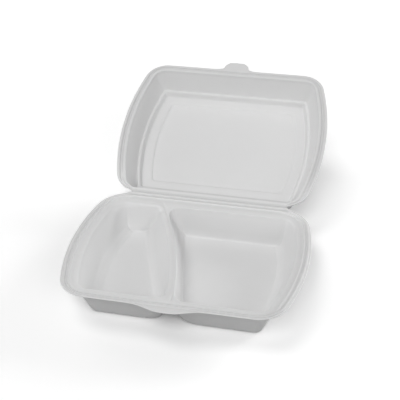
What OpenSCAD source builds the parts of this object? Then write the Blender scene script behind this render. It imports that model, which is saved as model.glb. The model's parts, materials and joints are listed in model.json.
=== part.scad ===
// Foam clamshell meal box: a two-compartment tray and a lid on a moulded hinge, shown open.
// Lengths are in millimetres. The container stands on z = 0 with its front towards -Y.

/* [Rim] */
// Width of the tray across its rim
rim_w = 241.6; // [190:0.2:300]
// Depth of both rims from the hinge side to the front edge
rim_d = 191.6; // [160:0.2:240]
// How much narrower the lid's rim is than the tray's on each side
lid_slack = 0.8; // [0:0.1:2]
// How far the tray's front edge lies behind the lid's when shut
front_step = 1.2; // [0:0.1:2]
// Radius of the bowed side edges
side_bow_r = 282; // [240:1:500]
// Radius of the tray's back corners
tray_back_r = 36; // [28:0.5:44]
// Radius of the tray's front corners
tray_front_r = 31; // [24:0.5:44]
// Radius of the lid's back corners
lid_back_r = 28; // [24:0.5:44]
// Radius of the lid's front corners
lid_front_r = 27.5; // [24:0.5:44]
// Rounding of every free edge
edge_round = 0.8; // [0.4:0.1:1]

/* [Tray] */
// Height of the tray's rim above the table
tray_h = 36; // [28:0.5:60]
// Thickness of the tray's foam
tray_wall = 3.1; // [2:0.1:3.2]
// Thickness of the rim's pressed edge
rim_wall = 1.1; // [0.8:0.1:2]
// Width of the flat lip outside the beads
lip_w = 1.8; // [1.6:0.1:4]
// Width of each raised bead on the rim
bead_w = 2.9; // [2.5:0.1:3.6]
// Height of each raised bead
bead_h = 1.4; // [0.6:0.1:2]
// Flat space between the beads
bead_gap = 1.6; // [1.5:0.1:2.6]
// Inset of the compartments' top edge at the front
well_front_in = 11; // [10:0.5:16]
// Inset of the compartments' floor at the front
floor_front_in = 27.5; // [20:0.5:36]
// Radius of the compartments' front corners at the top edge
well_front_r = 13; // [9:0.5:16]
// Radius of the compartments' front corners at the floor
floor_front_r = 8; // [5:0.5:12]
// Radius of the compartments' back corners at the floor
floor_back_r = 1.5; // [1.5:0.5:6]
// Rounding of the tray's bottom edges outside
foot_round = 2; // [1:0.1:3]
// Width of the front lip's bulge, the grip for opening
bulge_w = 68; // [60:1:90]
// How far the bulge stands forward of the rim
bulge_d = 7.6; // [4:0.1:14]
// Length of the curve at each end of the bulge
bulge_ramp = 29; // [20:1:32]

/* [Small compartment] */
// Inset of its top edge at the side
small_side_in = 13; // [12:0.5:22]
// Inset of its top edge at the hinge side
small_back_in = 20; // [16:0.5:24]
// Inset of its floor at the side
small_floor_side_in = 31; // [24:0.5:38]
// Inset of its floor at the hinge side
small_floor_back_in = 24.5; // [22:0.5:34]
// Where the foot of its divider wall would meet the hinge side
small_foot_back_x = -70; // [-76:0.5:-60]
// Where the foot of its divider wall would meet the front
small_foot_front_x = -1; // [-12:0.5:2]
// Radius of its outer back corner at the top edge
small_back_r = 17; // [8:0.5:20]
// How far inside its side wall the crease beside its back wall starts at the top edge
small_crease_in = 7; // [3:0.5:12]
// How far its back wall comes forward at that crease
small_crease_step = 3; // [0:0.5:6]
// How far the side wall curves in towards that crease
small_crease_run = 36; // [20:0.5:44]
// Radius of its back corner beside the crest
small_crest_r = 5; // [3:0.5:12]
// Rounding where the rim and the crest turn down into it
small_shoulder = 6; // [1:0.1:9]
// Radius between its walls and floor
small_fillet = 6; // [2:0.5:8]

/* [Large compartment] */
// Inset of its top edge at the side
large_side_in = 13.6; // [12.6:0.1:20]
// Inset of its top edge at the hinge side
large_back_in = 20; // [14:0.5:24]
// Inset of its floor at the side
large_floor_side_in = 28; // [22:0.5:36]
// Inset of its floor at the hinge side
large_floor_back_in = 24; // [22:0.5:34]
// Where the foot of its divider wall would meet the hinge side
large_foot_back_x = -26.5; // [-34:0.5:-20]
// Where the foot of its divider wall would meet the front
large_foot_front_x = 12.5; // [10:0.5:28]
// Radius of its outer back corner at the top edge
large_back_r = 12; // [5:0.5:16]
// How far inside its side wall the crease beside its back wall starts at the top edge
large_crease_in = 8; // [3:0.5:12]
// How far its back wall comes forward at that crease
large_crease_step = 0; // [0:0.5:6]
// How far the side wall curves in towards that crease
large_crease_run = 30; // [20:0.5:44]
// Radius of its back corner beside the crest
large_crest_r = 16; // [9:0.5:18]
// Rounding where the rim and the crest turn down into it
large_shoulder = 1.8; // [1:0.1:3]
// Radius between its walls and floor
large_fillet = 6; // [2:0.5:8]

/* [Divider] */
// Place of the divider's crest across the tray at the hinge side
crest_back_x = -48; // [-54:1:-40]
// Place of the divider's crest across the tray at the front
crest_front_x = 2; // [0:0.5:10]
// How far the crest bows to the right of a straight line
crest_bow = 9; // [4:0.1:10]
// Width of the crest
crest_w = 3; // [3:0.5:9]
// How far the crest lies below the rim
crest_drop = 4.5; // [0:0.1:8]
// Thickness of the foam under the crest
crest_wall = 3.5; // [3:0.1:5]
// Length of the ramp at each end of the crest
crest_ramp = 14; // [10:0.5:16]
// Radius of the compartments' front corners beside the crest
crest_front_r = 20; // [12:0.5:22]

/* [Lid] */
// Depth of the lid from its rim to the outside of its panel
lid_h = 34; // [27:0.5:36]
// Thickness of the lid's foam
lid_wall = 1.75; // [1.2:0.05:2.2]
// Width of the flat lip outside the groove
lid_lip_w = 2.8; // [2:0.1:4]
// Width of the groove in the lid's rim
groove_w = 4.6; // [3:0.1:5]
// Depth of the groove in the lid's rim
groove_d = 1.8; // [0.6:0.1:2]
// Width of the lid's rim at the sides and front
lid_rim_w = 10; // [9.4:0.1:13]
// Width of the lid's rim at the hinge side
lid_rim_back_w = 3.6; // [3:0.1:8]
// Inset of the ledge inside the lid
ledge_in = 19.5; // [16:0.5:22]
// Depth of the ledge below the lid's rim
ledge_depth = 25; // [18:0.5:25]
// Width of the ledge
ledge_w = 2.6; // [1.5:0.1:3]
// Inset of the flat panel inside its frame
panel_in = 36; // [30:0.5:44]
// Rounding at the lid's wall top and around its panel
shoulder = 1.4; // [0.8:0.1:2]
// How far the panel lies beyond its frame
panel_sink = 1.2; // [0.4:0.1:2]
// Smallest corner radius inside the lid
lid_inner_r = 4.5; // [3:0.5:8]
// Width of the lock tab
tab_w = 31; // [24:1:40]
// How far the lock tab stands out of the rim
tab_l = 11.5; // [5:0.5:14]

/* [Hinge] */
// Opening angle of the lid, where 0 is shut and 180 is flat
open_angle = 155; // [90:1:180]
// Length of the moulded hinge
hinge_w = 176; // [130:1:180]
// Distance from the hinge axis to each rim
hinge_gap = 2.1; // [1.6:0.1:4]
// Thickness of the hinge strip at its axis
hinge_wall = 0.9; // [0.6:0.1:1.4]
// Running gap at the hinge axis and over the beads when shut
running_gap = 0.3; // [0.2:0.05:0.6]

/* [Hidden] */

// Where the tray and the lid are widest, as shares of the rim's depth
tray_widest_share = 0.45;
lid_widest_share = 0.5;
// Share of a bead's or groove's width that each of its slopes takes
slope_share = 0.28;
// The front part of the tray's rim is narrower than its sides by this share
tray_front_share = 0.56;
// Share of the rim's depth to which the tray's back corners run on along its sides
corner_run_share = 0.26;
// Share of a compartment's shoulder and fillet that its back wall takes
crisp_share = 0.35;
// Shares of them that the divider takes in the small and in the large compartment
small_divider_share = 1;
large_divider_share = 0.35;
// Share of the hinge's gap between its axis and its rims at which the ridge beside the axis begins
ridge_share = 0.4;
// Share of a compartment's crease that shows at its top edge
crease_share = 0.6;
// Share of a compartment's depth at which the underside of its divider wall begins
under_share = 0.2;
// Share of the inset by which the lid's corners tighten towards the panel
tighten_share = 1.25;
// Places along the hinge side between a seam and a corner
back_shares = [0.36, 0.7];
// Places along the front between a corner and the bulge or tab
front_shares = [0.55];
// Points along the ramp of the bulge
ramp_shares = [0, 0.25, 0.5, 0.75, 1];
// The tab's outline: share of its half width, then share of its length
tab_shares = [[1.02, 0], [0.95, 0.45], [0.84, 0.86], [0.68, 1], [0, 1.06]];

// Points in each corner, its arc, each side, half a crest corner and the length of the crest
corner_n = 10;
arc_n = 6;
side_n = 9;
half_n = 3;
crest_n = 7;
// Number of the ring point in the middle of the first corner
corner_at = half_n + len(back_shares) + 2 + corner_n / 2;

lift = 180 - open_angle;
rim_gap = bead_h + running_gap;
front_reach = hinge_gap + rim_d - front_step + bulge_d;
tab_reach = hinge_gap + rim_d + tab(0);
back_reach = tab_reach * cos(lift) + (lid_wall - edge_round / 2 + rim_gap / 2) * sin(lift);
hinge_y = (front_reach - back_reach) / 2;
hinge_z = tray_h + rim_gap / 2;
hinge_edge = running_gap / 2 - hinge_gap;
ridge_z = bead_h / 2;
frame_depth = lid_h - lid_wall - panel_sink;
flange_in = lip_w + 2 * bead_w + bead_gap;
bead_slope = bead_w * slope_share;
groove_slope = groove_w * slope_share;

function mix(a, b, t) = a + (b - a) * t;
function bezier(a, c, b, t) = mix(mix(a, c, t), mix(c, b, t), t);
function flip(list) = [for (i = [len(list) - 1:-1:0]) list[i]];
function count_to(n, first) = [for (i = [0:n - 1]) first + i];

// A frame is a bowed outline: half width, back, front, widest place, bow radius and both corner radii.
function frame(half, side_in, back_in, front_in, widest, back_r, front_r) =
  [half - side_in, back_in, rim_d - front_in, widest * rim_d, side_bow_r - side_in, back_r, front_r];
function bow_x(f) = f[0] - f[4];
function corner_x(f, v, r) = bow_x(f) + sqrt(pow(f[4] - r, 2) - pow(v - f[3], 2));
function back_x(f) = corner_x(f, f[1] + f[5], f[5]);
function front_x(f) = corner_x(f, f[2] - f[6], f[6]);

// Right-hand corner and side points of a frame, from the hinge side to the front. Where run is given, the
// corner's points go on along the side to that distance. A crease, given as its inset, step and share, pulls
// the corner from the arc towards a flat curve.
function bow_at(f, v) = [bow_x(f) + sqrt(pow(f[4], 2) - pow(v - f[3], 2)), v];
function bow_turn(f, t) = [bow_x(f) + f[4] * cos(t), f[3] + f[4] * sin(t)];
function arc_corner(f, ba, end) =
  let (bx = back_x(f), bv = f[1] + f[5])
  [for (i = [0:corner_n])
    i <= arc_n ? let (t = mix(-90, ba, i / arc_n)) [bx + f[5] * cos(t), bv + f[5] * sin(t)]
    : bow_turn(f, mix(ba, end, (i - arc_n) / (corner_n - arc_n)))];
function plain_corner(f, ba) =
  let (bx = back_x(f), bv = f[1] + f[5])
  [for (i = [0:corner_n]) let (t = mix(-90, ba, i / corner_n)) [bx + f[5] * cos(t), bv + f[5] * sin(t)]];
function crease_corner(f, ba, end, run, crease) =
  let (
    round_off = arc_corner(f, ba, end),
    start = bow_at(f, f[1] + crease[1]) - [crease[0], 0]
  )
  [for (i = [0:corner_n])
    let (flat = bezier(start, bow_at(f, f[1] + run / 3), bow_at(f, f[1] + run), i / corner_n))
    mix(round_off[i], flat, crease[2])];
function flank(f, run, crease) =
  let (
    ba = atan2(f[1] + f[5] - f[3], back_x(f) - bow_x(f)),
    start = run == undef ? ba : asin((f[1] + run - f[3]) / f[4]),
    fx = front_x(f), fv = f[2] - f[6], fa = atan2(fv - f[3], fx - bow_x(f))
  )
  concat(
    run == undef ? plain_corner(f, ba) : crease == undef ? arc_corner(f, ba, start)
      : crease_corner(f, ba, start, run, crease),
    [for (i = [1:side_n - 1]) bow_turn(f, mix(start, fa, i / side_n))],
    [for (i = [0:corner_n]) let (t = mix(fa, 90, i / corner_n)) [fx + f[6] * cos(t), fv + f[6] * sin(t)]]
  );

// Places across the hinge side from a seam to the end of the hinge, and across the front from a corner to a
// seam. The last hinge place is the end of the strip; the corner follows it.
function back_places(seam, side, end) =
  let (first = seam + side * crest_ramp)
  concat(
    [for (j = [0:half_n]) seam + side * crest_ramp * j / half_n],
    [for (s = back_shares) mix(first, side * end, s)],
    [side * end]
  );
function front_places(seam, side, end, marks) =
  let (widest = side * max(marks), last = seam + side * crest_ramp)
  concat(
    [for (s = front_shares) mix(side * end, widest, s)],
    [for (m = marks) if (side * (side * m - last) > 0) side * m],
    [for (j = [half_n:-1:1]) seam + side * crest_ramp * j / half_n]
  );

// Half a ring from the back seam round one side to the front seam, as [x, v] points.
function half_ring(f, side, seam_back, seam_front, marks, run) =
  concat(
    [for (x = back_places(seam_back, side, min(hinge_w / 2, back_x(f) - edge_round))) [x, f[1]]],
    [for (p = flank(f, run)) [side * p[0], p[1]]],
    [for (x = front_places(seam_front, side, front_x(f), marks)) [x, f[2]]]
  );

// A whole ring: the left half with the front seam, then the right half back to the start.
function ring(f, seam_back, seam_front, marks, run) =
  let (right = half_ring(f, 1, seam_back, seam_front, marks, run))
  concat(
    half_ring(f, -1, seam_back, seam_front, marks, run),
    [[seam_front, f[2]]],
    flip([for (i = [1:len(right) - 1]) right[i]])
  );

// Is this ring point on the moulded hinge, or on the straight front edge?
function on_hinge(p, f) = p[1] - f[1] < hinge_gap && abs(p[0]) <= hinge_w / 2;
function on_front(p, f) = abs(p[1] - f[2]) < edge_round / 100;

// How far the front edge stands out at x: the tray's bulge and the lid's tab.
function ease(t) = t * t * (3 - 2 * t);
function bulge(x) = bulge_d * ease(max(0, min(1, (bulge_w / 2 - abs(x)) / bulge_ramp)));
function tab(x) = tab_l * lookup(abs(x), [for (s = flip(tab_shares)) [s[0] * tab_w / 2, s[1]]]);
bulge_marks = [for (s = ramp_shares) bulge_w / 2 - s * bulge_ramp];
tab_marks = [for (s = tab_shares) if (s[0] > 0) s[0] * tab_w / 2];

// Triangles between two closed loops of point numbers, and over a flat loop.
function strip(a, b) =
  [for (i = [0:len(a) - 1])
    let (j = (i + 1) % len(a)) each [[a[i], b[j], a[j]], [a[i], b[i], b[j]]]];
function cap(a) = [[for (i = [len(a) - 1:-1:0]) a[(i + corner_at) % len(a)]]];
function turn(faces) = [for (f = faces) flip(f)];
function loops(n, rings, first) = [for (k = [0:rings - 1]) count_to(n, first + k * n)];
function loft(list) = [for (k = [0:len(list) - 2]) each strip(list[k], list[k + 1])];
function joined(list) = [for (part = list) each part];

// Tray

function tray_frame(inset) =
  frame(
    rim_w / 2, inset, inset, front_step + inset * tray_front_share, tray_widest_share,
    tray_back_r - inset, tray_front_r - inset
  );

// Ends of the crest between the hinge side and the front, and its course between them.
crest_ends = [rim_d - front_step - tray_front_share * flange_in, flange_in];
function crest_x(v) =
  let (w = (v - crest_ends[1]) / (crest_ends[0] - crest_ends[1]))
  mix(crest_back_x, crest_front_x, w) + 4 * crest_bow * w * (1 - w);

// One ring of the tray's rim at an inset and height. Along the hinge it lies at hinge_at, a place and a
// height, where that is given. A bulged ring carries the bulge at the front.
function tray_ring(inset, z, hinge_at, bulged = false) =
  let (f = tray_frame(inset))
  [for (p = ring(f, crest_back_x, crest_front_x, bulge_marks, rim_d * corner_run_share))
    on_hinge(p, f) && hinge_at != undef ? [p[0], hinge_at[0], hinge_at[1]]
    : bulged && on_front(p, f) ? [p[0], p[1] + bulge(p[0]), z]
    : [p[0], p[1], z]];

function bead(start) =
  [[start, 0], [start + bead_slope, bead_h], [start + bead_w - bead_slope, bead_h], [start + bead_w, 0]];

// Beside the hinge the lip is a ridge and the outer bead fades out.
tray_top_rings = concat(
  [
    tray_ring(0, -edge_round / 2, [hinge_edge, ridge_z - edge_round], true),
    tray_ring(edge_round, 0, [-hinge_gap * ridge_share, ridge_z], true),
    tray_ring((edge_round + lip_w) / 2, 0, [(edge_round + lip_w) / 2, ridge_z], true)
  ],
  [for (b = bead(lip_w)) tray_ring(b[0], b[1], [b[0], 0])],
  [for (b = bead(lip_w + bead_w + bead_gap)) tray_ring(b[0], b[1])]
);
tray_under_rings = [
  tray_ring(0, edge_round / 4 - rim_wall, [hinge_edge, ridge_z - edge_round - hinge_wall], true),
  tray_ring(edge_round, -rim_wall, [0, -rim_wall], true),
  tray_ring(lip_w, -rim_wall),
  tray_ring(lip_w + bead_w, -tray_wall),
  tray_ring(flange_in, -tray_wall)
];
rim_n = len(tray_top_rings[0]);
front_seam = len(half_ring(tray_frame(0), -1, crest_back_x, crest_front_x, bulge_marks));

// Points of the crest between the seams, from the front to the hinge side: [v, share of the drop].
crest_places = concat(
  [for (j = [1:half_n]) [crest_ends[0] - crest_ramp * j / half_n, ease(j / half_n)]],
  [for (j = [1:crest_n - 1]) [mix(crest_ends[0] - crest_ramp, crest_ends[1] + crest_ramp, j / crest_n), 1]],
  [for (j = [half_n:-1:1]) [crest_ends[1] + crest_ramp * j / half_n, ease(j / half_n)]]
);
function crest_points(rim_z, crest_z) =
  [for (p = crest_places) [crest_x(p[0]), p[0], mix(rim_z, crest_z, p[1])]];

// Sizes of one compartment: side of the crest it lies on, insets of its top edge and floor, foot line, corner
// radii, fillet, shoulder, crease and the divider's share.
small_well = [
  -1, small_side_in, small_back_in, small_floor_side_in, small_floor_back_in,
  small_foot_back_x, small_foot_front_x, small_back_r, small_crest_r, small_fillet, small_shoulder,
  small_crease_in, small_crease_step, small_crease_run, small_divider_share
];
large_well = [
  1, large_side_in, large_back_in, large_floor_side_in, large_floor_back_in,
  large_foot_back_x, large_foot_front_x, large_back_r, large_crest_r, large_fillet, large_shoulder,
  large_crease_in, large_crease_step, large_crease_run, large_divider_share
];
well_depth = tray_h - tray_wall;

// The wall of a compartment along the divider at depth share t.
function divider_x(w, v, t, grow) =
  mix(crest_x(v) + w[0] * crest_w / 2, mix(w[5], w[6], v / rim_d), t) - w[0] * eased(grow, w[14]);
function eased(grow, share) = grow < 0 ? grow * share : grow;

// One ring of a compartment: t runs from 0 at its top edge to 1 at its floor, and grow swells it by a wall.
// The ring lies at rim_z beside the rim and at crest_z beside the crest. A crease shows below the shoulder.
function well_ring(w, t, rim_z, crest_z, grow, creased = true) =
  let (
    f = frame(
      rim_w / 2, mix(w[1], w[3], t) - grow, mix(w[2], w[4], t) - eased(grow, crisp_share),
      mix(well_front_in, floor_front_in, t) - grow, tray_widest_share,
      mix(w[7], floor_back_r, t), mix(well_front_r, floor_front_r, t)
    ),
    side = w[0],
    r = mix(w[8], floor_back_r, t),
    back = [divider_x(w, f[1], t, grow), f[1]],
    front = [divider_x(w, f[2], t, grow), f[2]],
    back_side = [back[0] + side * r, f[1]],
    back_up = [divider_x(w, f[1] + r, t, grow), f[1] + r],
    front_side = [front[0] + side * crest_front_r, f[2]],
    front_up = [divider_x(w, f[2] - crest_front_r, t, grow), f[2] - crest_front_r],
    outer = flank(f, w[13], creased ? [w[11] * (1 - t), w[12], mix(crease_share, 1, t)] : undef),
    back_n = len(back_shares) + 1,
    front_n = len(front_places(crest_front_x, side, front_x(f), bulge_marks)) - half_n
  )
  concat(
    [for (j = [0:half_n])
      let (s = 0.5 + 0.5 * j / half_n, p = bezier(back_up, back, back_side, s))
      [p[0], p[1], mix(crest_z, rim_z, ease(s))]],
    [for (p = concat(
      [for (j = [1:back_n]) mix(back_side, [side * outer[0][0], outer[0][1]], j / (back_n + 1))],
      [for (q = outer) [side * q[0], q[1]]],
      [for (j = [1:front_n]) mix([side * front_x(f), f[2]], front_side, j / (front_n + 1))]
    )) [p[0], p[1], rim_z]],
    [for (j = [0:2 * half_n])
      let (s = 0.5 * j / half_n, p = bezier(front_side, front, front_up, s))
      [p[0], p[1], mix(rim_z, crest_z, ease(s))]],
    [for (j = [1:crest_n - 1])
      let (v = mix(front_up[1], back_up[1], j / crest_n)) [divider_x(w, v, t, grow), v, crest_z]],
    [for (j = [0:half_n - 1])
      let (s = 0.5 * j / half_n, p = bezier(back_up, back, back_side, s))
      [p[0], p[1], mix(crest_z, rim_z, ease(s))]]
  );

// Rings of a compartment's inside, and of the foam's underside below it.
function well_top_rings(w) =
  let (low = 1 - w[9] / well_depth, soft = w[10])
  [
    well_ring(w, 0, 0, -crest_drop, 0, false),
    well_ring(
      w, 0, -soft * slope_share, -crest_drop - soft * slope_share, -soft * (1 - slope_share), false
    ),
    well_ring(w, 0, -soft, -crest_drop - soft, -soft),
    well_ring(w, low, w[9] - well_depth, w[9] - well_depth, 0),
    well_ring(w, 1, w[9] * slope_share - well_depth, w[9] * slope_share - well_depth, -w[9] * slope_share),
    well_ring(w, 1, -well_depth, -well_depth, -w[9])
  ];
function well_under_rings(w) =
  let (low = 1 - foot_round / well_depth)
  [
    well_ring(
      w, under_share, -well_depth * under_share - tray_wall, mix(-crest_drop, -well_depth, under_share),
      tray_wall - w[10] / 2
    ),
    well_ring(w, low, foot_round - tray_h, foot_round - tray_h, tray_wall),
    well_ring(w, 1, -tray_h, -tray_h, tray_wall - foot_round / 2)
  ];

function well_faces(side, seam_loop, rings, first) =
  let (
    made = loft(concat([seam_loop], loops(len(seam_loop), len(rings), first))),
    floor_loop = loops(len(seam_loop), len(rings), first)[len(rings) - 1]
  )
  side < 0 ? concat(made, cap(floor_loop)) : turn(concat(made, cap(floor_loop)));

// Loop of rim and crest points that a compartment starts from, in the order of its rings.
function seam_loop(side, rim, crest) =
  concat(
    [for (i = side < 0 ? [0:1:front_seam] : [rim_n:-1:front_seam]) rim + i % rim_n],
    crest
  );

// One face of the sheet: rim rings, crest and the rings of both compartments, numbered from first.
function skin_faces(rim_rings, small, large, first) =
  let (
    rim_loops = loops(rim_n, len(rim_rings), first),
    crest_at = first + rim_n * len(rim_rings),
    crest = count_to(len(crest_places), crest_at),
    small_at = crest_at + len(crest_places),
    large_at = small_at + len(small) * len(small[0]),
    rim_at = crest_at - rim_n
  )
  concat(
    loft(rim_loops),
    well_faces(-1, seam_loop(-1, rim_at, crest), small, small_at),
    well_faces(1, seam_loop(1, rim_at, crest), large, large_at)
  );

module tray() {
  small_top = well_top_rings(small_well);
  large_top = well_top_rings(large_well);
  small_under = well_under_rings(small_well);
  large_under = well_under_rings(large_well);
  top = concat(joined(tray_top_rings), crest_points(0, -crest_drop), joined(small_top), joined(large_top));
  under = concat(
    joined(tray_under_rings), crest_points(-tray_wall, -crest_drop - crest_wall),
    joined(small_under), joined(large_under)
  );
  faces = concat(
    skin_faces(tray_top_rings, small_top, large_top, 0),
    turn(skin_faces(tray_under_rings, small_under, large_under, len(top))),
    strip(count_to(rim_n, len(top)), count_to(rim_n, 0))
  );
  color("whitesmoke")
    translate([0, hinge_y - hinge_gap, tray_h])
      polyhedron([for (p = concat(top, under)) [p[0], -p[1], p[2]]], faces);
}

// Lid

function lid_frame(side_in, back_in) =
  frame(
    rim_w / 2 - lid_slack, side_in, back_in, side_in, lid_widest_share,
    max(lid_back_r - side_in * tighten_share, lid_inner_r),
    max(lid_front_r - side_in * tighten_share, lid_inner_r)
  );

// One ring of the lid at a side inset, a hinge-side inset and a depth. Along the hinge it lies at hinge_at, a
// place and a height, where that is given. A tabbed ring carries the lock tab.
function lid_ring(side_in, back_in, depth, hinge_at, tabbed = false) =
  let (f = lid_frame(side_in, back_in))
  [for (p = ring(f, 0, 0, tab_marks))
    on_hinge(p, f) && hinge_at != undef ? [p[0], hinge_at[0], hinge_at[1]]
    : tabbed && on_front(p, f) ? [p[0], p[1] + tab(p[0]), -depth]
    : [p[0], p[1], -depth]];

// At the hinge side the rim is narrower, so its stations there close up alike. Beside the hinge its lip is a
// ridge and its groove fades out.
function at_back(inset) = inset * lid_rim_back_w / lid_rim_w;

lid_top_rings = concat(
  [
    lid_ring(0, 0, edge_round, [hinge_edge, ridge_z - edge_round], true),
    lid_ring(edge_round, at_back(edge_round), 0, [-hinge_gap * ridge_share, ridge_z], true),
    lid_ring(lid_lip_w / 2, at_back(lid_lip_w / 2), 0, [at_back(lid_lip_w / 2), ridge_z], true)
  ],
  [for (s = [
    [lid_lip_w, 0],
    [lid_lip_w + groove_slope, groove_d],
    [lid_lip_w + groove_w - groove_slope, groove_d],
    [lid_lip_w + groove_w, 0],
    [lid_rim_w, 0]
  ]) lid_ring(s[0], at_back(s[0]), s[1], [at_back(s[0]), 0])],
  [for (s = [
    [lid_rim_w + shoulder / 2, lid_rim_back_w + shoulder / 2, shoulder],
    [ledge_in - edge_round / 2, ledge_in - lid_rim_w + lid_rim_back_w, ledge_depth - edge_round],
    [ledge_in + edge_round / 2, ledge_in + edge_round / 2, ledge_depth],
    [ledge_in + ledge_w, ledge_in + ledge_w, ledge_depth],
    [ledge_in + ledge_w + edge_round, ledge_in + ledge_w + edge_round, ledge_depth + edge_round],
    [ledge_in + 2 * ledge_w, ledge_in + 2 * ledge_w, frame_depth - edge_round],
    [ledge_in + 2 * ledge_w + edge_round, ledge_in + 2 * ledge_w + edge_round, frame_depth],
    [panel_in, panel_in, frame_depth],
    [panel_in + shoulder, panel_in + shoulder, frame_depth + panel_sink]
  ]) lid_ring(s[0], s[1], s[2])]
);
lid_under_rings = concat(
  [
    lid_ring(0, 0, lid_wall - edge_round / 2, [hinge_edge, ridge_z - edge_round - hinge_wall], true),
    lid_ring(edge_round, at_back(edge_round), lid_wall, [0, -lid_wall], true)
  ],
  [for (s = [
    [lid_lip_w - lid_wall / 2, lid_wall],
    [lid_lip_w + groove_slope - lid_wall / 2, groove_d + lid_wall],
    [lid_rim_w - lid_wall, groove_d + lid_wall]
  ]) lid_ring(s[0], at_back(s[0]), s[1])],
  [for (s = [
    [ledge_in - lid_wall, ledge_in - lid_rim_w + lid_rim_back_w - lid_wall, ledge_depth],
    [ledge_in - lid_wall / 2, ledge_in - lid_wall / 2, ledge_depth + lid_wall],
    [ledge_in + ledge_w - lid_wall / 2, ledge_in + ledge_w - lid_wall / 2, ledge_depth + lid_wall],
    [ledge_in + 2 * ledge_w - lid_wall, ledge_in + 2 * ledge_w - lid_wall, frame_depth],
    [ledge_in + 2 * ledge_w, ledge_in + 2 * ledge_w, frame_depth + lid_wall],
    [panel_in, panel_in, frame_depth + lid_wall],
    [panel_in + shoulder, panel_in + shoulder, frame_depth + panel_sink + lid_wall]
  ]) lid_ring(s[0], s[1], s[2])]
);

module lid() {
  n = len(lid_top_rings[0]);
  rings = concat(flip(lid_under_rings), lid_top_rings);
  loop_list = loops(n, len(rings), 0);
  faces = concat(turn(cap(loop_list[0])), loft(loop_list), cap(loop_list[len(rings) - 1]));
  color("whitesmoke")
    translate([0, hinge_y, hinge_z])
      rotate([lift, 0, 0])
        translate([0, hinge_gap, -rim_gap / 2])
          polyhedron(joined(rings), turn(faces));
}

tray();
lid();
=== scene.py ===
"""Looks of an open foam clamshell meal box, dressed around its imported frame."""

import json
import logging
import math
from dataclasses import dataclass
from enum import Enum

import bmesh
import bpy
from mathutils import Matrix, Vector


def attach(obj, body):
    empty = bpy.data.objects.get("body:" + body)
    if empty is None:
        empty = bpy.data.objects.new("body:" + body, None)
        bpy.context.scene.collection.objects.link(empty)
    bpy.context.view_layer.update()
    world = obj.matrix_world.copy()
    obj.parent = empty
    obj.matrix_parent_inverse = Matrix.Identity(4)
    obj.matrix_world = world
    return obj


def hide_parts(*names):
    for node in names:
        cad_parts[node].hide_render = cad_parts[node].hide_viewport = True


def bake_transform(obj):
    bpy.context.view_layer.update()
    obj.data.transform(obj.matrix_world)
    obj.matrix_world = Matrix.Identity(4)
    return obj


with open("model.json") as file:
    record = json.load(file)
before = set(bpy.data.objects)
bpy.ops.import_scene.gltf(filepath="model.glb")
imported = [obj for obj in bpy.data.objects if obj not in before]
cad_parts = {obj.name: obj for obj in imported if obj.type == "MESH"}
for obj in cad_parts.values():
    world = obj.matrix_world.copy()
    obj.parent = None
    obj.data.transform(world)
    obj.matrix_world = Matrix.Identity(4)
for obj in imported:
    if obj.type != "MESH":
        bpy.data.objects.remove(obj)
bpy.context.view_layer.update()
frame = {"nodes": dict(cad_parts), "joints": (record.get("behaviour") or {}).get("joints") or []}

LOG = logging.getLogger("clamshell")
MM = 0.001
# Vertex attributes of greyness: compressed foam with painted shade.
PRESSED_AND_SHADED = "pressed"
FOLDED_AND_SHADED = "folded_and_shaded"
Point = tuple[float, float, float]
Colour = tuple[float, float, float, float]
Span = tuple[float, float]
Stop = tuple[float, float]


class Half(Enum):
    """The two rigid halves of the box, named as the frame's bodies and nodes."""

    TRAY = "tray"
    LID = "lid"


class Slot(Enum):
    """The record's material slots."""

    TRAY_FOAM = "tray_foam"
    LID_FOAM = "lid_foam"


class Joined(Enum):
    """Ways to join two numbers in a node tree."""

    PRODUCT = "MULTIPLY"
    LARGER = "MAXIMUM"


def grey(level: float) -> Colour:
    """Give an opaque grey."""
    return (level, level, level, 1.0)


def part_way(value: float, start: float, end: float) -> float:
    """Say how far a value has come from a start to an end, from 0 to 1."""
    return min(1.0, max(0.0, (value - start) / (end - start)))


def within(span: Span, length: float) -> bool:
    """Say whether a length in metres lies in a span in millimetres."""
    return span[0] * MM <= length <= span[1] * MM


def hinge_point() -> Vector:
    """Give the middle of the hinge's axis."""
    return Vector(frame["joints"][0]["pos_m"])


def link_piece(name: str, shape: bmesh.types.BMesh) -> bpy.types.Object:
    """Make an object at the origin from a finished bmesh.

    Args:
        name: The piece's name.
        shape: The bmesh, which is freed.

    Returns:
        The new object.
    """
    mesh = bpy.data.meshes.new(name)
    shape.to_mesh(mesh)
    shape.free()
    piece = bpy.data.objects.new(name, mesh)
    bpy.context.scene.collection.objects.link(piece)
    return piece


def colour_socket(sockets: bpy.types.NodeInputs, letter: str) -> bpy.types.NodeSocket:
    """Find a Mix node's colour socket.

    Args:
        sockets: The node's inputs or outputs.
        letter: A, B or Result.

    Returns:
        The colour socket of that name.
    """
    return next(s for s in sockets if s.identifier == letter + "_Color")


def mix_greys(
    tree: bpy.types.NodeTree,
    share: bpy.types.NodeSocket,
    first: bpy.types.NodeSocket | float,
    second: float,
) -> bpy.types.NodeSocket:
    """Mix a colour with a grey.

    Args:
        tree: A material's node tree.
        share: How much of the second there is.
        first: A colour's output, or a grey.
        second: The other grey.

    Returns:
        The mixed colour's output.
    """
    mix = tree.nodes.new("ShaderNodeMix")
    mix.data_type = "RGBA"
    tree.links.new(share, mix.inputs["Factor"])
    start = colour_socket(mix.inputs, "A")
    if isinstance(first, bpy.types.NodeSocket):
        tree.links.new(first, start)
    else:
        start.default_value = grey(first)
    colour_socket(mix.inputs, "B").default_value = grey(second)
    return colour_socket(mix.outputs, "Result")


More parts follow.
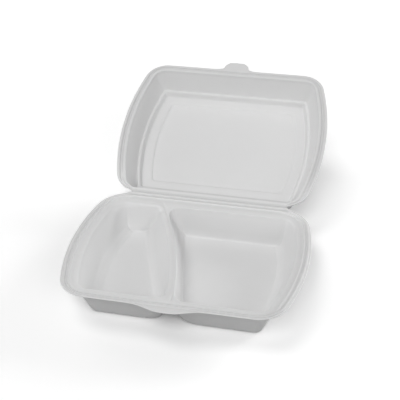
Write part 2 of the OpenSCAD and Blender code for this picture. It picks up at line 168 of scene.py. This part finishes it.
def join(
    tree: bpy.types.NodeTree,
    how: Joined,
    first: bpy.types.NodeSocket,
    second: bpy.types.NodeSocket,
) -> bpy.types.NodeSocket:
    """Join two numbers in a node tree.

    Args:
        tree: A material's or world's node tree.
        how: The way to join them.
        first: The first number's output.
        second: The second number's output.

    Returns:
        The joined number's output.
    """
    node = tree.nodes.new("ShaderNodeMath")
    node.operation = how.value
    tree.links.new(first, node.inputs[0])
    tree.links.new(second, node.inputs[1])
    return node.outputs["Value"]


def read_attribute(tree: bpy.types.NodeTree, name: str) -> bpy.types.NodeSocket:
    """Read a piece's own attribute in its material.

    Args:
        tree: The material's node tree.
        name: The attribute's name.

    Returns:
        The attribute's output, which is 0 on a piece without it.
    """
    node = tree.nodes.new("ShaderNodeAttribute")
    node.attribute_name = name
    return node.outputs["Fac"]


def seen_directly(tree: bpy.types.NodeTree) -> bpy.types.NodeSocket:
    """Add the test for what the camera sees, also in gloss and glass.

    Args:
        tree: A material's or world's node tree.

    Returns:
        The output that is 1 for such rays.
    """
    path = tree.nodes.new("ShaderNodeLightPath")
    found = path.outputs["Is Camera Ray"]
    for kind in ("Is Glossy Ray", "Is Transmission Ray"):
        found = join(tree, Joined.LARGER, found, path.outputs[kind])
    return found


@dataclass(frozen=True)
class RimPlane:
    """The plane of a half's rim, tipped about the hinge's axis and a drop below it."""

    lift: float
    drop: float = 0.85 * MM

    def normal(self) -> Vector:
        """Give the plane's upward normal."""
        return Vector((0.0, -math.sin(self.lift), math.cos(self.lift)))

    def point(self) -> Vector:
        """Give the plane's point below the middle of the hinge's axis."""
        return hinge_point() - self.drop * self.normal()

    def measure(self, point: Vector) -> tuple[float, float]:
        """Measure a point from the hinge's axis along the plane, and above the plane.

        Args:
            point: A point of the half.

        Returns:
            The distance from the axis and the height, in metres.
        """
        offset = point - self.point()
        normal = self.normal()
        along = Vector((0.0, normal.z, -normal.y))
        return abs(offset.dot(along)), offset.dot(normal)


@dataclass(frozen=True)
class FoldAndShadeLine:
    """A line that is greyed and may dip: beside the hinge a thin compressed line, darkened
    further as painted shade; at the feet of walls, painted shade alone.

    Its spans and its dip are in millimetres: away from the hinge's axis, in height
    over the rim and across the box.
    """

    away: Span
    height: Span
    greyness: float
    dip: float = 0.0
    across: Span = (-91.0, 91.0)

    def holds(self, across: float, away: float, height: float) -> bool:
        """Say whether a point lies on the line.

        Args:
            across: The point's place along the hinge.
            away: Its distance from the hinge's axis.
            height: Its height over the rim.

        Returns:
            True on the line.
        """
        return (
            within(self.across, across)
            and within(self.away, away)
            and within(self.height, height)
        )


@dataclass(frozen=True)
class FoamFinish:
    """White polystyrene foam: closed cells under a satin skin, greyer on the rim as compressed
    foam and painted shade.

    The stops of greyness from compressed foam and painted shade are heights over the rim in
    millimetres, each with its greyness there.
    """

    name: str
    rim: RimPlane
    pressing_and_shade: tuple[Stop, ...]
    colour: float = 0.795
    shade: float = 0.765
    # The grey of compressed foam and of painted shade.
    pressed: float = 0.66
    roughness: float = 0.46
    refraction: float = 1.45
    specular: float = 0.35
    scatter: float = 0.12
    scatter_reach: Point = (1.0, 1.0, 0.95)
    scatter_depth: float = 2.0 * MM
    cell: float = 1.1 * MM
    cell_softness: float = 0.35
    cell_relief: float = 0.03 * MM
    grains_per_cell: float = 3.0
    grain_detail: float = 2.0
    grain_share: float = 0.4
    ripple: float = 22.0 * MM
    ripple_detail: float = 3.0
    ripple_relief: float = 0.25 * MM

    def material(self) -> bpy.types.Material:
        """Make the finish as a node material on Object coordinates.

        Returns:
            The material.
        """
        made = bpy.data.materials.new(self.name)
        made.use_nodes = True
        tree = made.node_tree
        skin = tree.nodes["Principled BSDF"]
        skin.inputs["Roughness"].default_value = self.roughness
        skin.inputs["IOR"].default_value = self.refraction
        skin.inputs["Specular IOR Level"].default_value = self.specular
        skin.inputs["Subsurface Weight"].default_value = self.scatter
        skin.inputs["Subsurface Radius"].default_value = self.scatter_reach
        skin.inputs["Subsurface Scale"].default_value = self.scatter_depth
        place = tree.nodes.new("ShaderNodeTexCoord").outputs["Object"]
        cells = self._cells(tree, place)
        ripple = self._noise(tree, place, 1.0 / self.ripple, self.ripple_detail)
        grain = self._noise(
            tree, place, self.grains_per_cell / self.cell, self.grain_detail
        )
        thickness = join(tree, Joined.PRODUCT, cells, ripple)
        tint = mix_greys(tree, thickness, self.colour, self.shade)
        # Grey the rim's flats and the listed lines: compressed foam with painted shade.
        tint = mix_greys(tree, self._pressing_and_shade(tree, place), tint, self.pressed)
        tree.links.new(tint, skin.inputs["Base Color"])
        relief = self._bump(tree, ripple, self.ripple_relief, None)
        relief = self._bump(tree, cells, self.cell_relief, relief)
        relief = self._bump(tree, grain, self.cell_relief * self.grain_share, relief)
        tree.links.new(relief, skin.inputs["Normal"])
        return made

    def _cells(
        self, tree: bpy.types.NodeTree, place: bpy.types.NodeSocket
    ) -> bpy.types.NodeSocket:
        """Add the pattern of foam cells.

        Args:
            tree: The material's node tree.
            place: The Object coordinates.

        Returns:
            The distance from the cells' middles.
        """
        cells = tree.nodes.new("ShaderNodeTexVoronoi")
        cells.feature = "SMOOTH_F1"
        cells.inputs["Scale"].default_value = 1.0 / self.cell
        cells.inputs["Smoothness"].default_value = self.cell_softness
        tree.links.new(place, cells.inputs["Vector"])
        return cells.outputs["Distance"]

    def _noise(
        self,
        tree: bpy.types.NodeTree,
        place: bpy.types.NodeSocket,
        scale: float,
        detail: float,
    ) -> bpy.types.NodeSocket:
        """Add a noise pattern.

        Args:
            tree: The material's node tree.
            place: The Object coordinates.
            scale: Patches per metre.
            detail: Octaves of the noise.

        Returns:
            The noise's output.
        """
        noise = tree.nodes.new("ShaderNodeTexNoise")
        noise.inputs["Scale"].default_value = scale
        noise.inputs["Detail"].default_value = detail
        tree.links.new(place, noise.inputs["Vector"])
        return noise.outputs["Fac"]

    def _pressing_and_shade(
        self, tree: bpy.types.NodeTree, place: bpy.types.NodeSocket
    ) -> bpy.types.NodeSocket:
        """Add how grey the foam is made on the rim's flats and along the listed lines, as
        compressed foam and painted shade.

        Args:
            tree: The material's node tree.
            place: The Object coordinates.

        Returns:
            The greyness, from 0 to 1.
        """
        levels = self._levels(tree, self._height(tree, place))
        rim_shade = join(tree, Joined.PRODUCT, levels, read_attribute(tree, PRESSED_AND_SHADED))
        return join(tree, Joined.LARGER, rim_shade, read_attribute(tree, FOLDED_AND_SHADED))

    def _height(
        self, tree: bpy.types.NodeTree, place: bpy.types.NodeSocket
    ) -> bpy.types.NodeSocket:
        """Add the height over the rim's plane.

        Args:
            tree: The material's node tree.
            place: The Object coordinates.

        Returns:
            The height's output.
        """
        offset = tree.nodes.new("ShaderNodeVectorMath")
        offset.operation = "SUBTRACT"
        tree.links.new(place, offset.inputs[0])
        offset.inputs[1].default_value = self.rim.point()
        height = tree.nodes.new("ShaderNodeVectorMath")
        height.operation = "DOT_PRODUCT"
        tree.links.new(offset.outputs["Vector"], height.inputs[0])
        height.inputs[1].default_value = self.rim.normal()
        return height.outputs["Value"]

    def _levels(
        self, tree: bpy.types.NodeTree, height: bpy.types.NodeSocket
    ) -> bpy.types.NodeSocket:
        """Add the ramp of the stops of greyness, from compressed foam and painted shade.

        Args:
            tree: The material's node tree.
            height: The height over the rim.

        Returns:
            The ramp's output.
        """
        (low, low_share), *between, (high, high_share) = self.pressing_and_shade
        span = tree.nodes.new("ShaderNodeMapRange")
        span.inputs["From Min"].default_value = low * MM
        span.inputs["From Max"].default_value = high * MM
        tree.links.new(height, span.inputs["Value"])
        ramp = tree.nodes.new("ShaderNodeValToRGB")
        stops = ramp.color_ramp.elements
        stops[0].color = grey(low_share)
        stops[1].color = grey(high_share)
        for level, share in between:
            stops.new(part_way(level, low, high)).color = grey(share)
        tree.links.new(span.outputs["Result"], ramp.inputs["Fac"])
        return ramp.outputs["Color"]

    def _bump(
        self,
        tree: bpy.types.NodeTree,
        height: bpy.types.NodeSocket,
        relief: float,
        under: bpy.types.NodeSocket | None,
    ) -> bpy.types.NodeSocket:
        """Add a bump over another one.

        Args:
            tree: The material's node tree.
            height: The pattern's height output.
            relief: Height of the pattern in metres.
            under: The normal of the bump below it, if any.

        Returns:
            The bumped normal.
        """
        bump = tree.nodes.new("ShaderNodeBump")
        bump.inputs["Strength"].default_value = 1.0
        bump.inputs["Distance"].default_value = relief
        tree.links.new(height, bump.inputs["Height"])
        if under is not None:
            tree.links.new(under, bump.inputs["Normal"])
        return bump.outputs["Normal"]


@dataclass
class FoamShell:
    """One half of the box: the frame's solid, its facets smoothed into soft foam."""

    half: Half
    slot: Slot
    finish: FoamFinish
    fold_and_shade_lines: tuple[FoldAndShadeLine, ...]
    merge: float = 0.01 * MM
    softenings: int = 2
    quad_bend: float = math.radians(40.0)
    quad_skew: float = math.radians(120.0)
    soft_angle: float = math.radians(10.0)
    firm_angle: float = math.radians(22.0)
    firmness: float = 0.92
    flat_angle: float = math.radians(2.0)
    flat_height: float = 0.06 * MM
    wall_slope: float = 0.5
    flat_slope: float = 0.85
    hinge_share: float = 0.1
    hinge_near: float = 14.0 * MM
    hinge_far: float = 45.0 * MM

    def build(self) -> bpy.types.Object:
        """Copy the half's solid, turn its triangles to quads and subdivide them.

        Returns:
            The shell.
        """
        shape = bmesh.new()
        shape.from_mesh(frame["nodes"][self.half.value].data)
        bmesh.ops.remove_doubles(shape, verts=shape.verts, dist=self.merge)
        bmesh.ops.dissolve_edges(
            shape, edges=self._diagonals(shape), use_verts=False
        )
        bmesh.ops.join_triangles(
            shape,
            faces=[f for f in shape.faces if len(f.verts) == 3],
            angle_face_threshold=self.quad_bend,
            angle_shape_threshold=self.quad_skew,
        )
        self._crease(shape)
        self._press(shape)
        self._fold_and_shade(shape)
        for face in shape.faces:
            face.smooth = True
        shell = link_piece(self.half.value + "_shell", shape)
        soft = shell.modifiers.new("soft", "SUBSURF")
        soft.levels = self.softenings
        soft.render_levels = self.softenings
        return shell

    def _diagonals(self, shape: bmesh.types.BMesh) -> list[bmesh.types.BMEdge]:
        """Find the edges that cut the solid's quads into triangles.

        Args:
            shape: The merged copy of the solid, whose triangles come in pairs.

        Returns:
            The edge that each pair shares.
        """
        faces = list(shape.faces)
        shared = [
            set(first.edges) & set(second.edges)
            for first, second in zip(faces[::2], faces[1::2])
        ]
        return [edges.pop() for edges in shared if edges]

    def _crease(self, shape: bmesh.types.BMesh) -> None:
        """Note on each edge how firmly it holds its place.

        Args:
            shape: The shell's bmesh.
        """
        crease = shape.edges.layers.float.new("crease_edge")
        for edge in shape.edges:
            edge[crease] = self._hold(edge)

    def _hold(self, edge: bmesh.types.BMEdge) -> float:
        """Say how firmly an edge holds its place when the shell is softened.

        Args:
            edge: An edge of the shell.

        Returns:
            The crease: by the edge's angle, and full around the flats of the rim.
        """
        angle = edge.calc_face_angle(0.0)
        heights = [self.finish.rim.measure(v.co)[1] for v in edge.verts]
        if angle > self.flat_angle and max(map(abs, heights)) < self.flat_height:
            return self.firmness
        return self.firmness * part_way(angle, self.soft_angle, self.firm_angle)

    def _press(self, shape: bmesh.types.BMesh) -> None:
        """Note where the rim's flats are greyed, less near the hinge and not on walls: partly
        compressed foam, partly painted shade on surfaces that face up.

        Args:
            shape: The shell's bmesh.
        """
        pressed = shape.verts.layers.float.new(PRESSED_AND_SHADED)
        shape.normal_update()
        up = self.finish.rim.normal()
        hinge = hinge_point()
        for vert in shape.verts:
            away = abs(vert.co.y - hinge.y)
            far = part_way(away, self.hinge_near, self.hinge_far)
            slope = abs(vert.normal.dot(up))
            flat = part_way(slope, self.wall_slope, self.flat_slope)
            vert[pressed] = flat * (self.hinge_share + (1.0 - self.hinge_share) * far)

    def _fold_and_shade(self, shape: bmesh.types.BMesh) -> None:
        """Grey the listed lines and let some dip: compressed lines beside the hinge with painted
        shade, and painted shade alone at the feet of walls.

        Args:
            shape: The shell's bmesh.
        """
        folded_and_shaded = shape.verts.layers.float.new(FOLDED_AND_SHADED)
        down = -self.finish.rim.normal()
        for vert in shape.verts:
            away, height = self.finish.rim.measure(vert.co)
            for marked_line in self.fold_and_shade_lines:
                if marked_line.holds(vert.co.x, away, height):
                    vert[folded_and_shaded] = marked_line.greyness
                    vert.co += marked_line.dip * MM * down
                    break

    def dress(self, shell: bpy.types.Object) -> None:
        """Give the shell its finish and let it stand for the solid.

        Args:
            shell: The built shell.
        """
        shell.data.materials.clear()
        shell.data.materials.append(self.finish.material())
        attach(shell, self.half.value)
        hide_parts(self.half.value)


@dataclass
class HingeStrip:
    """The moulded hinge: a thin web of foam in the valley on which the lid turns."""

    finish: FoamFinish
    half_length: float = 87.0 * MM
    reach: float = 0.5 * MM
    depth: float = 1.0 * MM
    sag: float = 0.15 * MM
    wall: float = 0.6 * MM
    steps_along: int = 86
    steps_across: int = 10
    ranking: Point = (1.0, 37.0, 1013.0)
    # The web's grey is compressed thin foam with painted shade in the hinge's valley.
    greyness: float = 1.0

    def build(self) -> bpy.types.Object:
        """Make the strip as a long grid, sagging along the axis and given a wall.

        Returns:
            The strip.
        """
        shape = bmesh.new()
        bmesh.ops.create_grid(
            shape, x_segments=self.steps_along, y_segments=self.steps_across, size=1.0
        )
        bmesh.ops.scale(
            shape, vec=(self.half_length, self.reach, 1.0), verts=shape.verts
        )
        for vert in shape.verts:
            share = vert.co.y / self.reach
            vert.co.z = self.sag * share * share - self.depth
        bmesh.ops.solidify(shape, geom=shape.faces[:], thickness=self.wall)
        # The new wall's faces come in another order on each run.
        shape.faces.sort(key=self._order)
        bmesh.ops.recalc_face_normals(shape, faces=shape.faces)
        bmesh.ops.translate(shape, vec=hinge_point(), verts=shape.verts)
        folded_and_shaded = shape.verts.layers.float.new(FOLDED_AND_SHADED)
        for vert in shape.verts:
            vert[folded_and_shaded] = self.greyness
        for face in shape.faces:
            face.smooth = True
        return link_piece("hinge_strip", shape)

    def _order(self, face: bmesh.types.BMFace) -> float:
        """Give a face's rank by its place, which no other face of the strip has."""
        return face.calc_center_median().dot(Vector(self.ranking))

    def dress(self, strip: bpy.types.Object) -> None:
        """Give the strip its finish and apply its transform to its mesh.

        Args:
            strip: The built strip.
        """
        strip.data.materials.append(self.finish.material())
        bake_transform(strip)


@dataclass
class Lamp:
    """A broad soft studio lamp, far enough away to light the floor evenly.

    Its azimuth goes clockwise from +Y seen from above. Both angles are in degrees.
    """

    name: str
    azimuth: float
    elevation: float
    strength: float
    spread: float = math.radians(31.0)

    def build(self) -> None:
        """Add the lamp, which shines from its azimuth and elevation on to the box."""
        data = bpy.data.lights.new(self.name, "SUN")
        data.energy = self.strength
        data.angle = self.spread
        lamp = bpy.data.objects.new(self.name, data)
        turn = Matrix.Rotation(math.radians(180.0 - self.azimuth), 4, "Z")
        tilt = Matrix.Rotation(math.radians(90.0 - self.elevation), 4, "X")
        lamp.matrix_world = turn @ tilt
        bpy.context.scene.collection.objects.link(lamp)


@dataclass
class Studio:
    """Plain pale floor, even white surround and soft lamps.

    The floor is seen a little over white, because the lamps alone leave it greyer.
    """

    lamps: tuple[Lamp, ...]
    floor_half: float = 3.0
    floor_drop: float = 0.2 * MM
    floor_seen: float = 1.27
    floor_bounce: float = 0.4
    surround_seen: float = 1.0
    surround_light: float = 0.2

    def build(self) -> None:
        """Make the floor, the surround and the lamps."""
        self._floor()
        self._world()
        for lamp in self.lamps:
            lamp.build()

    def _floor(self) -> None:
        """Lay the floor: white where it is seen, grey in the light it returns."""
        shape = bmesh.new()
        bmesh.ops.create_grid(shape, x_segments=1, y_segments=1, size=self.floor_half)
        bmesh.ops.translate(shape, vec=(0.0, 0.0, -self.floor_drop), verts=shape.verts)
        floor = link_piece("floor", shape)
        paint = bpy.data.materials.new("floor_paper")
        paint.use_nodes = True
        tree = paint.node_tree
        tree.nodes.remove(tree.nodes["Principled BSDF"])
        paper = tree.nodes.new("ShaderNodeBsdfDiffuse")
        tint = mix_greys(
            tree, seen_directly(tree), self.floor_bounce, self.floor_seen
        )
        tree.links.new(tint, paper.inputs["Color"])
        tree.links.new(
            paper.outputs["BSDF"], tree.nodes["Material Output"].inputs["Surface"]
        )
        floor.data.materials.append(paint)

    def _world(self) -> None:
        """Fill the surround: plain light, and white where it is seen."""
        world = bpy.data.worlds.new("surround")
        bpy.context.scene.world = world
        world.use_nodes = True
        tree = world.node_tree
        glow = tree.nodes["Background"]
        glow.inputs["Color"].default_value = grey(1.0)
        level = tree.nodes.new("ShaderNodeMix")
        level.inputs["A"].default_value = self.surround_light
        level.inputs["B"].default_value = self.surround_seen
        tree.links.new(seen_directly(tree), level.inputs["Factor"])
        tree.links.new(level.outputs["Result"], glow.inputs["Strength"])


@dataclass
class PhotoCamera:
    """A camera at the photograph's viewing angle, worked out for a 400 by 400 frame.

    It is turned left from +Y by its azimuth and looks down by its elevation, both in
    degrees.
    """

    place: Point
    azimuth: float
    elevation: float
    focal_pixels: float
    frame_pixels: float = 400.0
    sensor: float = 36.0
    sight: float = 20.0

    def build(self) -> None:
        """Add the camera and make it the scene's own."""
        data = bpy.data.cameras.new("photo_camera")
        data.sensor_width = self.sensor
        data.lens = self.focal_pixels / self.frame_pixels * self.sensor
        data.clip_end = self.sight
        camera = bpy.data.objects.new("photo_camera", data)
        turn = Matrix.Rotation(math.radians(self.azimuth), 4, "Z")
        tilt = Matrix.Rotation(math.radians(90.0 - self.elevation), 4, "X")
        camera.matrix_world = Matrix.Translation(self.place) @ turn @ tilt
        bpy.context.scene.collection.objects.link(camera)
        bpy.context.scene.camera = camera


def set_the_stage() -> None:
    """Build the camera, the floor and the light."""
    PhotoCamera(
        place=(0.1480, -0.7425, 0.4960),
        azimuth=11.814,
        elevation=31.118,
        focal_pixels=810.8,
    ).build()
    Studio(
        lamps=(
            Lamp("front", 182.0, 47.0, 1.02),
            Lamp("left_high", 270.0, 65.0, 0.57),
            Lamp("left_low", 245.0, 12.0, 0.36),
            Lamp("left_back", 315.0, 25.0, 0.32),
            Lamp("right_front", 135.0, 25.0, 0.48),
            Lamp("right_back", 45.0, 12.0, 1.61),
        )
    ).build()
    bpy.context.scene.view_settings.view_transform = "Standard"


def tray_shell() -> FoamShell:
    """Describe the tray, its rim greyed as compressed foam and painted shade, the lines beside
    the hinge and the painted shade at the back walls' feet.

    Returns:
        The tray, not yet built.
    """
    finish = FoamFinish(
        name="white_foam_tray",
        rim=RimPlane(0.0),
        # Greyness by height over the rim: compressed foam with painted shade that draws the
        # rim's lines.
        pressing_and_shade=(
            (-8.0, 0.0),
            (-6.0, 0.65),
            (-3.5, 0.65),
            (-1.0, 0.5),
            (0.2, 0.6),
            (1.3, 0.8),
        ),
    )
    fold_and_shade_lines = (
        # Lines beside the hinge: compressed foam, greyed further as painted shade in the
        # grooves.
        FoldAndShadeLine((0.0, 0.5), (-0.5, 0.5), 1.0),
        FoldAndShadeLine((3.6, 4.2), (-0.3, 0.3), 0.7),
        FoldAndShadeLine((4.4, 6.3), (-0.3, 0.3), 1.0, dip=0.7),
        FoldAndShadeLine((6.5, 7.1), (-0.3, 0.3), 0.8),
        FoldAndShadeLine((11.0, 11.6), (-0.3, 0.3), 0.4, dip=0.3),
        # Painted shade along the feet of the large and the small compartment's back walls.
        FoldAndShadeLine((24.9, 27.2), (-31.8, -26.0), 0.55, across=(-32.0, 91.0)),
        FoldAndShadeLine((27.0, 30.4), (-31.8, -30.5), 0.6, across=(-91.0, -62.0)),
    )
    return FoamShell(Half.TRAY, Slot.TRAY_FOAM, finish, fold_and_shade_lines)


def lid_shell() -> FoamShell:
    """Describe the lid, its groove greyed as compressed foam and painted shade, the lines beside
    the hinge and the painted shade on the ledge.

    Returns:
        The lid, not yet built.
    """
    finish = FoamFinish(
        name="white_foam_lid",
        rim=RimPlane(math.radians(25.0)),
        # Greyness by height over the rim: compressed foam with painted shade in the rim's
        # groove.
        pressing_and_shade=((-4.0, 0.0), (-1.7, 0.9), (-1.0, 0.7), (0.2, 0.4)),
    )
    fold_and_shade_lines = (
        # Lines beside the hinge: compressed foam, greyed further as painted shade in the
        # grooves.
        FoldAndShadeLine((0.0, 0.5), (-0.5, 0.5), 1.0),
        FoldAndShadeLine((1.0, 1.5), (0.3, 1.0), 0.8),
        FoldAndShadeLine((2.4, 2.8), (0.3, 1.0), 0.4),
        FoldAndShadeLine((6.2, 6.6), (-1.6, -1.2), 0.6),
        # Painted shade on the ledge at the foot of the wall beside the hinge.
        FoldAndShadeLine((13.0, 25.5), (-27.0, -24.0), 0.9),
    )
    return FoamShell(Half.LID, Slot.LID_FOAM, finish, fold_and_shade_lines)


def main() -> None:
    """Build the stage and the pieces of the box, and log their face counts."""
    logging.basicConfig(level=logging.INFO, format="%(name)s: %(message)s")
    set_the_stage()
    lid = lid_shell()
    for part in (tray_shell(), lid, HingeStrip(lid.finish)):
        piece = part.build()
        part.dress(piece)
        LOG.info("%s: %d faces before smoothing", piece.name, len(piece.data.polygons))
    bpy.context.view_layer.update()


if __name__ == "__main__":
    main()
